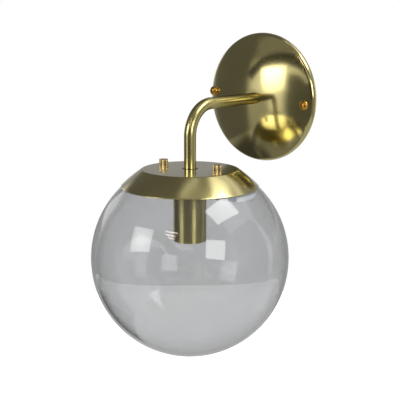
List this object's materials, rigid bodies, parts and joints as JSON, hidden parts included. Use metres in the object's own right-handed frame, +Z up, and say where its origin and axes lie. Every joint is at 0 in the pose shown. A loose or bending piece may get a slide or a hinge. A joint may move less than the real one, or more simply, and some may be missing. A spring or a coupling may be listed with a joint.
{
  "type": "globe wall sconce",
  "caption": "Brass wall sconce: round canopy, arm bent down through a right angle, and a clear glass globe clamped under a spun gallery with thumb nuts.",
  "frame": {"origin": "middle of the canopy's open back, on the wall face", "axes": "+Y into the wall, +Z up, the lamp hangs out along -Y"},
  "size_m": [0.2, 0.2203, 0.3225],
  "materials": {
    "satin_brass": "satin brushed lacquered brass",
    "bright_brass": "polished brass fixings",
    "clear_glass": "clear blown glass with a faint smoke tint",
    "zinc_steel": "zinc plated steel",
    "soft_white": "white silicone",
    "block_white": "natural nylon",
    "holder_white": "glazed ceramic",
    "sheath_clear": "pale plastic sheath",
    "core_brown": "brown core",
    "core_blue": "blue core",
    "core_green_yellow": "green and yellow core"
  },
  "bodies": {
    "wall_body": {"canopy": "satin_brass", "wall_bracket": "zinc_steel", "canopy_screws": "bright_brass", "wall_nipple": "zinc_steel", "wall_washer": "zinc_steel", "wall_nut": "zinc_steel", "terminal_block": "block_white", "terminal_block_screws": "bright_brass", "earth_screw": "bright_brass", "earth_lug": "zinc_steel", "earth_wire": "core_green_yellow", "lamp_lead": "sheath_clear", "lead_core_neutral": "core_blue", "lead_core_live": "core_brown", "arm_tube": "satin_brass", "lampholder_nipple": "zinc_steel", "clamp_bar": "zinc_steel", "clamp_bar_pads": "soft_white", "clamp_studs": "zinc_steel", "clamp_stud_nuts": "zinc_steel", "globe": "clear_glass", "lampholder_cup": "satin_brass", "cup_washer": "zinc_steel", "cup_nut": "zinc_steel", "lampholder_cap": "holder_white", "lampholder_base": "holder_white", "lampholder_terminals": "bright_brass", "lampholder_skirt": "holder_white", "lampholder_shell": "bright_brass", "lampholder_contact": "bright_brass"},
    "gallery_cap": {"gallery": "satin_brass"},
    "nut_left": {"thumb_nut_left": "bright_brass"},
    "nut_right": {"thumb_nut_right": "bright_brass"}
  },
  "joints": [
    {"name": "gallery_slide", "type": "slide", "parent": "wall_body", "child": "gallery_cap", "axis": [0, 0, 1], "range_m": [0, 0.03]},
    {"name": "thumb_nut_left_turn", "type": "hinge", "parent": "gallery_cap", "child": "nut_left", "pos_m": [-0.03229, -0.12398, -0.0629], "axis": [0, 0, 1], "continuous": true},
    {"name": "thumb_nut_right_turn", "type": "hinge", "parent": "gallery_cap", "child": "nut_right", "pos_m": [0.03229, -0.11662, -0.0629], "axis": [0, 0, 1], "continuous": true}
  ]
}
